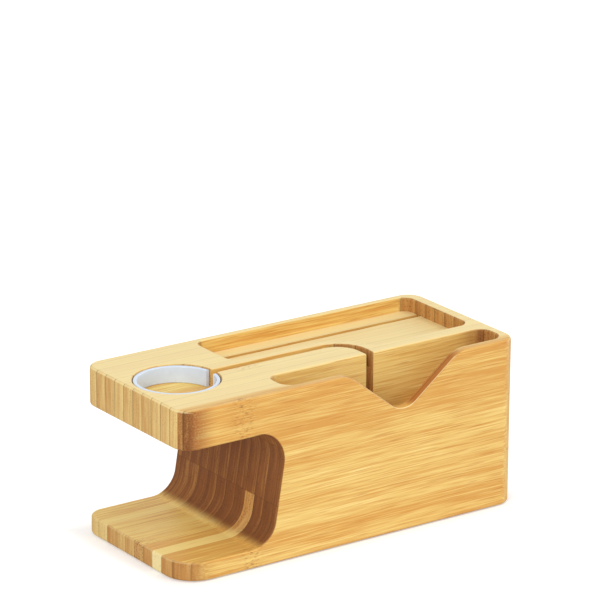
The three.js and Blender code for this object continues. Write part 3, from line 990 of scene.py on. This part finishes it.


# Over which turn of a face a mask rises: towards an end, upwards, to a rim between, and downwards, where
# shade is painted under the arm
END_TURN = (0.12, 0.6)
TOP_TURN = (0.6, 0.95)
RIM_TURN = (0.42, 0.62)
END_RIM_TURN = (0.25, 0.6)
HANGING_TURN = (-0.05, -0.45)

# Over which millimetres a mask rises, from the front, the middle, the right end or a long side
AMBER_TOP = (3.0, 5.6)
NOTCH_WALL = (3.7, 3.3)
MIDDLE = (-10.0, 10.0)
END_WALL = (2.0, 3.4)
SIDE_WALL = (1.7, 2.4)

# Over which millimetres a mask rises next to a level or a corner
TRAY_EDGE = (-0.7, -0.2)
FOOT_EDGE = (0.5, 3.0)
NOTCH_EDGE = (-0.9, -2.0)
CORNER_EDGE = (0.0, 1.5)
BEND_START = (-8.0, -3.0)
BEND_END = (9.0, 8.0)
OVER_FOOT = (10.0, 12.0)
ARM_EDGE = (1.0, 4.0)

# Long faces: where the ramp's tints lie, how strong lines, planed faces with their painted sheen, the painted
# light on the foot's top and the painted rim highlights are, and the foot's streaks
SIDE_TINTS = (0.06, 0.46, 0.82, 1.0)
LINE_SHARE = 0.6
PLANED_AND_SHEEN_WALL = 0.13
PLANED_AND_SHEEN_BEHIND = 0.62
FOOT_LIGHT_SHARE = 0.45
FOOT_STREAKS = (0.85, 0.2, 0.0, 0.75)
RIM_HIGHLIGHT_SHARE = 0.4
NOTCH_HIGHLIGHT_SHARE = 0.65
END_HIGHLIGHT_SHARE = 0.6
LOW_SHARE = 0.4

# Oil: how far it went in from the left end and the front, and inside the slot's right end, in millimetres
OIL_LENGTH = (14.0, 2.0)
OIL_DEPTH = (4.1, 3.5)
SLOT_OIL_START = (2.5, 3.5, 0.0, -1.0)
SLOT_OIL_END = (15.0, 7.0)
OIL_STIPPLE = (0.3, 0.65, 0.7, 1.0)

# Cut ends: where the ramp's tints lie, and what makes them darker
END_TINTS = (0.0, 0.2, 0.48, 0.76, 1.0)
END_DEPTH = 0.56
END_LEAST = 0.2
STREAK_CONTRAST = 0.7
OWN_LOST = 0.6
SLOPE_CONTRAST = 0.2
LEFT_BURN = (0.9, 0.2)
RIGHT_BURN = 0.42
FLANK_BURN = 0.3
FLANK_SHARE = 0.7
OIL_SHADE = 0.85
PORE_SHARES = (0.25, 0.65)

# Node marks and glue lines: how long and how dense marks are, and shares on long faces and on cut ends
NODE_REACH = (7.0, 0.5)
NODE_FLECKS = (0.5, 0.68)
NODE_SHARES = (0.6, 0.9)
SEAM_SHARES = (0.15, 0.55)
LEVEL_SHARES = (0.0, 0.35)

# Satin surface: how rough, and how strong and deep its relief is
SATIN = 0.32
SATIN_RANGE = 0.2
END_ROUGHER = 0.25
SHEEN = 0.25
FIBRE_RELIEF = (0.25, 0.08)


def routed_mask(at, size):
    """One on faces that a cutter left inside the block, none on its outer ends and round corners."""
    past_corner = near(size.foot_corner_radius, CORNER_EDGE)
    from_side = lowest(at.from_front, at.from_back)
    in_walls = spread(at.from_right, *END_WALL) * spread(from_side, *SIDE_WALL)
    from_right = highest(spread(at.from_right, *past_corner), in_walls)
    return lowest(spread(at.from_left, *past_corner), from_right)


def gap_ceiling_shade(at, upward, place, size):
    """One where the gap's wall bends over under the arm: the cut ends' brown is painted there as shade."""
    start = spread(at.from_left, *near(size.gap_depth, BEND_START))
    end = spread(at.from_left, *near(size.gap_depth, BEND_END))
    hanging = spread(upward, *HANGING_TURN)
    return start * end * hanging * spread(at.z, *near(place.foot_top, OVER_FOOT))


def bamboo_places(tree, place, size):
    """Numbers and masks that say where a face is on the stand and which way it looks."""
    spot = millimetre_place(tree)
    x, y, z = split(spot)
    sideways, outward, upward = split(add(tree, "ShaderNodeTexCoord").outputs["Normal"])
    at = SimpleNamespace(spot=spot, x=x, y=y, z=z)
    at.from_left = x - place.left / MM
    at.from_right = place.right / MM - x
    at.from_front = y - place.front / MM
    at.from_back = place.back / MM - y
    at.routed = routed_mask(at, size)
    # End grain by the turn of the face, plus painted shade where the gap bends over under the arm
    at.is_end = highest(spread(abs(sideways), *END_TURN), gap_ceiling_shade(at, upward, place, size))
    looks_up = spread(upward, *TOP_TURN)
    is_high = spread(z, *near(place.tray_floor, TRAY_EDGE))
    at.is_top = looks_up * is_high
    at.is_foot = looks_up * (1.0 - is_high)
    # Rounded rims, where highlights are painted
    at.is_rim = spread(lowest(upward, abs(outward)), *RIM_TURN)
    at.is_end_rim = spread(lowest(upward, abs(sideways)), *END_RIM_TURN)
    at.behind_wall = spread(at.from_front, *AMBER_TOP)
    at.right_half = spread(x, *MIDDLE)
    at.in_notch = at.right_half * spread(at.from_front, *NOTCH_WALL)
    at.above_foot = spread(z, *near(place.foot_top, FOOT_EDGE), LOW_SHARE, 1.0)
    return at


def long_faces(at, tone, fibres, finish):
    """Colour of the faces along the fibres, paler where they look up: partly the planed edges, partly painted
    sheen. Also painted light on the foot's top and painted highlights on rims.
    """
    toned = fibres["Tone"] + tone
    tints = (finish.fibre_dark, finish.fibre_mid, finish.fibre_pale, finish.fibre_palest)
    side = ramp(toned, SIDE_TINTS, tints)
    side = painted(side, fibres["Line"] * LINE_SHARE, finish.fibre_line)
    # Pale top: partly the planed edges, partly painted sheen from the light above
    side = painted(side, at.is_top * (at.behind_wall * PLANED_AND_SHEEN_BEHIND + PLANED_AND_SHEEN_WALL), finish.pale_top_and_highlight)
    # Painted light on the foot's top, which lies in the arm's shade
    side = painted(side, at.is_foot * FOOT_LIGHT_SHARE, finish.foot_painted_light)
    side = painted(side, at.is_foot * spread(toned, *FOOT_STREAKS), finish.fibre_dark)
    # Painted highlight along the rounded front and back rims
    return painted(side, at.is_rim * at.behind_wall * RIM_HIGHLIGHT_SHARE, finish.pale_top_and_highlight)


def oil_mask(at, soak):
    """Where a lath drew in oil: at the left end, or inside the slot's right end if its value is negative."""
    at_left = soak * spread(at.from_left, *OIL_LENGTH) * spread(at.from_front, *OIL_DEPTH)
    in_slot = spread(at.from_right, *SLOT_OIL_START) * spread(at.from_right, *SLOT_OIL_END)
    soaked = highest(at_left, soak * in_slot) * (1.0 - at.is_top)
    return soaked * spread(noise(at.spot, STIPPLE_GRAIN, 2.0, 0.6), *OIL_STIPPLE)


def lath_slope(at, size):
    """Slope across each lath's end, from its denser side to its looser one."""
    inside = at.from_front - size.front_lath / MM
    return math_node("FRACT", inside / (size.lath_thickness / MM)) - 0.5


def cut_ends(at, end, ends, soaked, place, size, finish):
    """Colour of the cut ends: the outer ends are pale, and those that a cutter left are darker."""
    left_burn = spread(at.z, *near(place.arm_underside, ARM_EDGE), *LEFT_BURN)
    burn = left_burn - (left_burn - RIGHT_BURN) * at.right_half
    flank = at.in_notch * at.routed
    shade = (ends["Streak"] - 0.5) * STREAK_CONTRAST + end * (1.0 - at.routed * OWN_LOST)
    shade = shade + lath_slope(at, size) * SLOPE_CONTRAST + at.routed * burn
    shade = shade + flank * FLANK_BURN + soaked * OIL_SHADE
    tints = (finish.end_palest, finish.end_pale, finish.end_mid, finish.end_dark, finish.end_burnt)
    cut = ramp(shade * END_DEPTH + END_LEAST, END_TINTS, tints)
    cut = painted(cut, ends["Pore"] * faded(at.routed, *PORE_SHARES), finish.end_pore)
    return painted(cut, flank * FLANK_SHARE, finish.fibre_line)


def painted_rim_highlights(at, skin, place, finish):
    """Colour with painted highlights on the rims of the notch and of the outer ends."""
    below_top = spread(at.z, *near(place.top, NOTCH_EDGE))
    # Painted highlight along the notch's front edge
    skin = painted(skin, at.in_notch * below_top * at.is_rim * NOTCH_HIGHLIGHT_SHARE, finish.pale_top_and_highlight)
    # Painted highlight along the top edges of the outer ends
    end_highlight = at.is_end_rim * faded(at.routed, END_HIGHLIGHT_SHARE, 0.0) * at.above_foot
    return painted(skin, end_highlight, finish.pale_top_and_highlight)


def node_marks(at, node):
    """Dashes across a lath where its cane had a node."""
    flecks = spread(noise(at.spot, FLECK_GRAIN, 2.0, 0.6), *NODE_FLECKS)
    return spread(abs(at.x - node), *NODE_REACH) * flecks * faded(at.is_end, *NODE_SHARES)


def glue_lines(at, place, size):
    """Joints between laths and between layers, strongest on cut ends."""
    group = seam_group()

    def mask(along, first, pitch, count):
        last = first + (count - 1) * pitch
        joints = {"Along": along, "First": first, "Pitch": pitch, "Last": last, "Line": GLUE_LINE}
        return group_values(at.x.tree, group, joints)["Mask"]
    layer = size.lath_width / MM
    across = mask(at.y, (place.front + size.front_lath) / MM, size.lath_thickness / MM, LATH_COUNT - 1)
    level = mask(at.z, place.base / MM + layer, layer, len(LAYERS) - 1)
    across = across * faded(at.is_end, *SEAM_SHARES) * at.above_foot
    return highest(across, level * faded(at.is_end, *LEVEL_SHARES))


def bamboo_material(place, size, finish):
    """Satin bamboo: fibres along the stand, specked cut ends, glue lines and node marks, with painted sheen
    on the faces that look up, painted highlights on rims, painted light on the foot's top and painted shade
    under the arm.
    """
    material, tree, shader = new_material("bamboo")
    at = bamboo_places(tree, place, size)
    tone, end, shift, node, soak = (attribute(tree, name) for name in LATH_VALUES)
    fibres = group_values(tree, fibre_group(), {"Place": at.spot, "Shift": shift})
    ends = group_values(tree, end_group(), {"Place": at.spot, "Shift": shift})
    soaked = oil_mask(at, soak)
    side = painted(long_faces(at, tone, fibres, finish), soaked, finish.oiled)
    skin = painted(side, at.is_end, cut_ends(at, end, ends, soaked, place, size, finish))
    skin = painted_rim_highlights(at, skin, place, finish)
    skin = painted(skin, node_marks(at, node), finish.node)
    skin = painted(skin, glue_lines(at, place, size), finish.glue)
    rough = fibres["Height"] * SATIN_RANGE + SATIN + faded(at.is_end, 0.0, END_ROUGHER)
    surface = {
        "Base Color": skin,
        "Specular IOR Level": SHEEN,
        "Roughness": rough,
        "Normal": relief(fibres["Height"] - ends["Pore"] * at.is_end, *FIBRE_RELIEF),
    }
    fill(shader, surface)
    return material


# Moulded pieces: where the two tints of a ramp lie, how much one differs, how rough, and the relief
RING_TINTS = (0.3, 0.7)
RING_SHADE = 0.94
RING_ROUGHNESS = 0.12
RING_RELIEF = (0.08, 0.05)
RUBBER_TINTS = (0.35, 0.75)
RUBBER_DUST = 1.9
RUBBER_ROUGHNESS = 0.68
RUBBER_RANGE = 0.2
RUBBER_RELIEF = (0.4, 0.06)


def ring_material(finish):
    """Glossy moulded plastic with faint flow marks."""
    material, tree, shader = new_material("liner_plastic")
    spot = millimetre_place(tree)
    cloud = noise(spot, CLOUD_GRAIN, 3.0)
    shaded = [channel * RING_SHADE for channel in finish.ring]
    surface = {
        "Base Color": ramp(cloud, RING_TINTS, (shaded, finish.ring)),
        "Roughness": cloud * RING_ROUGHNESS + RING_ROUGHNESS,
        "Normal": relief(noise(spot, RIPPLE_GRAIN, 2.0), *RING_RELIEF),
    }
    fill(shader, surface)
    return material


def rubber_material(finish):
    """Matt black rubber with a moulded grain."""
    material, tree, shader = new_material("foot_rubber")
    spot = millimetre_place(tree)
    grain = noise(spot, RUBBER_GRAIN, 3.0)
    dusty = [channel * RUBBER_DUST for channel in finish.rubber]
    surface = {
        "Base Color": ramp(noise(spot, DUST_GRAIN, 2.0), RUBBER_TINTS, (finish.rubber, dusty)),
        "Roughness": grain * RUBBER_RANGE + RUBBER_ROUGHNESS,
        "Normal": relief(grain, *RUBBER_RELIEF),
    }
    fill(shader, surface)
    return material


def seen_directly(tree):
    """One for rays from the camera, and for the mirror and glass rays that show the backdrop."""
    path = numbers(add(tree, "ShaderNodeLightPath").outputs)
    shown = highest(path["Is Camera Ray"], path["Is Glossy Ray"])
    return highest(shown, path["Is Transmission Ray"])


# How laths vary: part of a turn from one to the next, ranges of their tones, and how much paler a layer is;
# the bottom layer is made paler as painted light for the foot's top in the arm's shade
TONE_TURN = 0.618034
TONE_RANGE = 0.3
END_TONE_TURN = 0.754878
END_TONE_LEAST = 0.12
END_TONE_RANGE = 0.18
LAYER_PAINTED_LIGHT = {"bottom": 0.15}
NO_NODE = 200.0

# Laths that differ from the rest, by layer and number from the front: tone of the long faces, tone of the
# ends, place of a node mark along the stand in millimetres, and how far the left end drew in oil. A negative
# value of the last is for the right end inside the slot.
LATH_LOOKS = {
    ("top", 1): {"lath_tone": -0.34, "lath_end": 0.25, "lath_node": -44.0, "lath_soak": 0.95},
    ("top", 2): {"lath_end": 0.12, "lath_soak": 0.95},
    ("top", 4): {"lath_tone": 0.05, "lath_soak": -0.5},
    ("top", 6): {"lath_node": -25.0},
    ("middle", 1): {"lath_tone": -0.1, "lath_end": 0.15},
    ("middle", 2): {"lath_end": 0.4},
    ("middle", 4): {"lath_tone": 0.0},
    ("bottom", 1): {"lath_tone": -0.15, "lath_end": 0.15, "lath_node": -41.0, "lath_soak": 0.48},
    ("bottom", 2): {"lath_tone": -0.3, "lath_end": 0.58},
    ("bottom", 3): {"lath_tone": -0.15, "lath_end": 0.45},
    ("bottom", 4): {"lath_tone": 0.85, "lath_end": -1.2},
    ("bottom", 5): {"lath_tone": -0.1, "lath_end": 0.45},
    ("bottom", 6): {"lath_tone": 0.35, "lath_node": -66.5},
    ("bottom", 7): {"lath_tone": 0.3},
    ("bottom", 8): {"lath_tone": 0.35},
    ("bottom", 9): {"lath_tone": 0.12},
    ("bottom", 10): {"lath_tone": 0.36, "lath_end": 0.0},
    ("bottom", 11): {"lath_tone": 0.15, "lath_end": 0.1},
}


def lath_values(layer, number):
    """What the finish of one lath needs: its own tones, pattern, node mark and oil."""
    count = LAYERS.index(layer) * LATH_COUNT + number
    # The bottom layer's lift is painted light for the foot's top, which lies in the arm's shade
    painted_light = LAYER_PAINTED_LIGHT.get(layer, 0.0)
    values = {
        "lath_tone": ((count * TONE_TURN) % 1.0 - 0.5) * TONE_RANGE + painted_light,
        "lath_end": END_TONE_LEAST + END_TONE_RANGE * ((count * END_TONE_TURN) % 1.0) + painted_light,
        "lath_shift": float(count),
        "lath_node": NO_NODE,
        "lath_soak": 0.0,
    }
    return {**values, **LATH_LOOKS.get((layer, number), {})}


# Operators


def settings(context):
    """The stand's four groups of settings."""
    scene = context.scene
    return scene.stand_block, scene.stand_fittings, scene.stand_finish, scene.stand_stage


def hand_over(piece, nodes):
    """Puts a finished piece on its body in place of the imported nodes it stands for."""
    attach(piece, BODY)
    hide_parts(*nodes)


class STAND_OT_laths(bpy.types.Operator):
    """Cut the bamboo block into its laths"""

    bl_idname = "stand.laths"
    bl_label = "Bamboo laths"

    def execute(self, context):
        size, fitting, finish, _ = settings(context)
        place = stand_places(size)
        block = finished_block(place, size, fitting)
        tree = lath_tree(bamboo_material(place, size, finish))
        for layer in LAYERS:
            for number in range(1, LATH_COUNT + 1):
                self.add_lath(block, tree, place, size, layer, number)
        bpy.data.objects.remove(block)
        return {"FINISHED"}

    def add_lath(self, block, tree, place, size, layer, number):
        level = LAYERS.index(layer)
        first_seam = place.front + size.front_lath
        bottom = place.base + level * size.lath_width
        low = Vector((place.left - OVERCUT, first_seam + (number - 2) * size.lath_thickness, bottom))
        high = low + Vector((0, size.lath_thickness, size.lath_width))
        high.x = place.right + OVERCUT
        if number == 1:
            low.y = place.front - OVERCUT
        if number == LATH_COUNT:
            high.y = place.back + OVERCUT
        low.z -= OVERCUT * (level == 0)
        high.z += OVERCUT * (level == len(LAYERS) - 1)
        lath = link(f"bamboo_{layer}_{number:02d}", block.data.copy())
        corners = {"Low Corner": low, "High Corner": high}
        geometry_modifier(lath, tree, {**corners, **lath_values(layer, number)})
        lath.modifiers.new("Even normals", "WEIGHTED_NORMAL").keep_sharp = True
        bake(lath)
        node = f"{layer}_lath_{number:02d}"
        hand_over(lath, [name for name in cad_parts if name.startswith(node)])


class STAND_OT_ring(bpy.types.Operator):
    """Sweep the split liner ring of the round pocket"""

    bl_idname = "stand.ring"
    bl_label = "Liner ring"

    def execute(self, context):
        size, fitting, finish, _ = settings(context)
        place = stand_places(size)
        outer = size.pocket_diameter / 2 - fitting.ring_clearance
        inner = outer - fitting.ring_wall
        height = size.pocket_depth - fitting.ring_recess
        ring = link("liner_ring", bpy.data.meshes.new("liner_ring"))
        values = {
            "Middle": (*place.pocket, place.pocket_floor + height / 2),
            "Radius": (outer + inner) / 2,
            "Wall": fitting.ring_wall,
            "Height": height,
            "Rim Round": fitting.ring_rim_round,
            "Opening": fitting.ring_split / 2 / inner,
        }
        geometry_modifier(ring, ring_tree(ring_material(finish)), values)
        bake(ring)
        hand_over(ring, ["pocket_liner_ring"])
        return {"FINISHED"}


class STAND_OT_feet(bpy.types.Operator):
    """Place the rubber feet in their recesses"""

    bl_idname = "stand.feet"
    bl_label = "Rubber feet"

    def execute(self, context):
        size, fitting, finish, _ = settings(context)
        place = stand_places(size)
        mesh = bpy.data.meshes.new("rubber_feet")
        mesh.from_pydata([(x, y, 0.0) for x, y in pad_centres(place, fitting)], [], [])
        feet = link("rubber_feet", mesh)
        values = {
            "Radius": fitting.pad_diameter / 2,
            "Thickness": fitting.pad_thickness,
            "Chamfer": fitting.pad_chamfer,
        }
        geometry_modifier(feet, feet_tree(rubber_material(finish)), values)
        bake(feet)
        hand_over(feet, [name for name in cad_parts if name.startswith("foot_pad")])
        return {"FINISHED"}


# The camera, in millimetres: where it stands, what it looks at, how far it is turned, and its picture's width
CAMERA_PLACE = (-693.51, -985.49, 472.87)
CAMERA_AIM = (8.00, 13.15, 71.83)
CAMERA_ROLL = math.radians(0.28)
SENSOR_WIDTH = 36.0
NEAREST = 10.0

# The lamps, in metres
KEY_PLACE = (0.55, -0.75, 1.05)
FILL_PLACE = (-0.85, -0.6, 0.6)
RIM_PLACE = (1.1, -0.15, 0.2)

# The floor: how far below the stand and how rough, and its glow, from where to where in millimetres from the
# stand, and how strong
FLOOR_DROP = 0.02
FLOOR_ROUGHNESS = 0.9
GLOW_RISE = (0.5, 10.0)
GLOW_RANGE = (0.28, 0.5)
WHITE = (1, 1, 1, 1)


def turned_to(place, aim, roll=0.0):
    """Matrix of a lamp or camera at a place that looks at a point."""
    place, aim = Vector(place), Vector(aim)
    back = (place - aim).normalized()
    level = Vector((0, 0, 1)).cross(back).normalized()
    upward = back.cross(level)
    right = math.cos(roll) * level + math.sin(roll) * upward
    up = math.cos(roll) * upward - math.sin(roll) * level
    turned = Matrix((right, up, back)).transposed().to_4x4()
    return Matrix.Translation(place) @ turned


class STAND_OT_stage(bpy.types.Operator):
    """Set up the pale floor, the soft light and the camera"""

    bl_idname = "stand.stage"
    bl_label = "Stage"

    def execute(self, context):
        stage = settings(context)[3]
        scene = context.scene
        scene.view_settings.view_transform = "Standard"
        self.add_floor(stage)
        self.add_sky(scene, stage)
        self.add_lamp(scene, "key", stage.key, stage.lamp_size, KEY_PLACE)
        self.add_lamp(scene, "fill", stage.fill, stage.lamp_size, FILL_PLACE)
        self.add_lamp(scene, "rim", stage.rim, stage.lamp_size, RIM_PLACE)
        self.add_camera(scene, stage)
        return {"FINISHED"}

    def add_floor(self, stage):
        half = stage.floor_size / 2
        mesh = bpy.data.meshes.new("floor")
        corners = ((-half, -half), (half, -half), (half, half), (-half, half))
        mesh.from_pydata([(x, y, -FLOOR_DROP * MM) for x, y in corners], [], [(0, 1, 2, 3)])
        floor = link("floor", mesh)
        material, tree, shader = new_material("floor")
        surface = {
            "Base Color": (*stage.floor, 1.0),
            "Roughness": FLOOR_ROUGHNESS,
            "Specular IOR Level": 0.0,
            "Emission Color": WHITE,
            "Emission Strength": seen_directly(tree) * self.floor_glow(tree),
        }
        fill(shader, surface)
        mesh.materials.append(material)
        floor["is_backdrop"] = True

    def floor_glow(self, tree):
        """Glow of the floor: low beside the stand, where its shadow shows, and full a little away."""
        x, y, _ = split(millimetre_place(tree))
        corner = CAD_BOX[1]
        away = highest(abs(x) - corner.x / MM, abs(y) - corner.y / MM)
        return spread(away, *GLOW_RISE, *GLOW_RANGE)

    def add_sky(self, scene, stage):
        world = bpy.data.worlds.new("studio")
        world.use_nodes = True
        tree = world.node_tree
        tree.nodes.clear()
        strength = seen_directly(tree) * (1.0 - stage.sky) + stage.sky
        sky = made(tree, "ShaderNodeBackground", {"Color": WHITE, "Strength": strength})
        add(tree, "ShaderNodeOutputWorld", {"Surface": sky})
        scene.world = world

    def add_lamp(self, scene, name, energy, side, place):
        lamp = bpy.data.lights.new(name, "AREA")
        lamp.energy = energy
        lamp.size = side
        holder = bpy.data.objects.new(name, lamp)
        scene.collection.objects.link(holder)
        holder.matrix_world = turned_to(place, (0, 0, 0))

    def add_camera(self, scene, stage):
        camera = bpy.data.cameras.new("camera")
        camera.lens = stage.lens
        camera.sensor_width = SENSOR_WIDTH
        camera.clip_start = NEAREST * MM
        holder = bpy.data.objects.new("camera", camera)
        scene.collection.objects.link(holder)
        place = [value * MM for value in CAMERA_PLACE]
        aim = [value * MM for value in CAMERA_AIM]
        holder.matrix_world = turned_to(place, aim, CAMERA_ROLL)
        scene.camera = holder


class STAND_PT_panel(bpy.types.Panel):
    """Sizes, finishes and the pieces to build"""

    bl_idname = "STAND_PT_panel"
    bl_label = "Charging stand"
    bl_space_type = "VIEW_3D"
    bl_region_type = "UI"
    bl_category = "Stand"

    def draw(self, context):
        for operator in OPERATORS:
            self.layout.operator(operator.bl_idname)
        for group in settings(context):
            column = self.layout.column(heading=group.bl_rna.description)
            for name in group.__annotations__:
                column.prop(group, name)


GROUPS = {
    "stand_block": StandBlockSizes,
    "stand_fittings": StandFittingSizes,
    "stand_finish": StandFinish,
    "stand_stage": StandStageSettings,
}
OPERATORS = (STAND_OT_laths, STAND_OT_ring, STAND_OT_feet, STAND_OT_stage)
CLASSES = (*GROUPS.values(), *OPERATORS, STAND_PT_panel)


def register():
    for cls in CLASSES:
        bpy.utils.register_class(cls)
    for name, group in GROUPS.items():
        setattr(bpy.types.Scene, name, PointerProperty(type=group))


def unregister():
    for name in GROUPS:
        delattr(bpy.types.Scene, name)
    for cls in reversed(CLASSES):
        bpy.utils.unregister_class(cls)


def write_size():
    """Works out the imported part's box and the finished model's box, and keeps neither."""
    boxes = {"cad": CAD_BOX, "visual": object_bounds()}
    {name: [list(corner) for corner in pair] for name, pair in boxes.items()}


def main():
    register()
    bpy.ops.stand.laths()
    bpy.ops.stand.ring()
    bpy.ops.stand.feet()
    bpy.ops.stand.stage()
    write_size()


if __name__ == "__main__":
    main()
